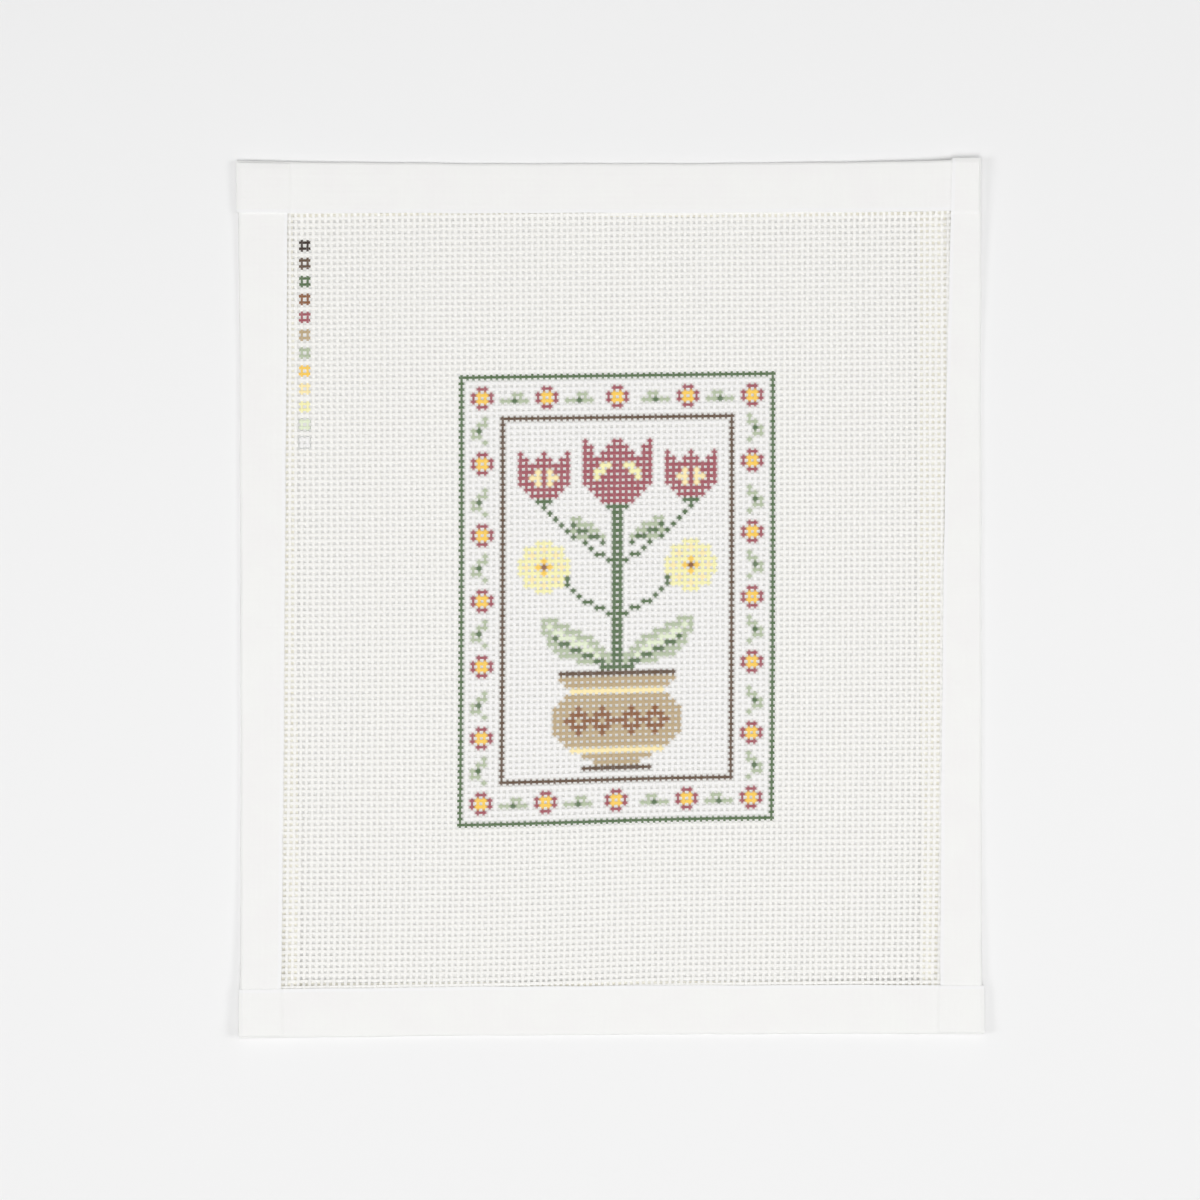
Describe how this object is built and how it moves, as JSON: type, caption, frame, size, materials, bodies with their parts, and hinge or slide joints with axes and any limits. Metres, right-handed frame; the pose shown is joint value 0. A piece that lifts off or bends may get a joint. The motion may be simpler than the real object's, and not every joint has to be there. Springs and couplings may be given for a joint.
{
  "type": "needlepoint canvas panel",
  "caption": "Flat white mono needlepoint canvas, bound on all its edges with folded cloth tape, with a painted chart for stitching and a column of colour samples.",
  "frame": {"origin": "on the surface that the panel lies on, under the middle of its bounding box", "axes": "+Z out of the painted face, +Y up the chart, along the panel's longer side, and +X across it to the right"},
  "size_m": [0.1784, 0.2098, 0.0054],
  "materials": {
    "canvas": "matte sized cotton, open plain weave of 18 threads to the inch",
    "tape": "matte white cloth tape of very fine weave"
  },
  "bodies": {
    "root": {"canvas": "canvas", "tape_left": "tape", "tape_top": "tape", "tape_right": "tape", "tape_bottom": "tape"}
  },
  "joints": []
}
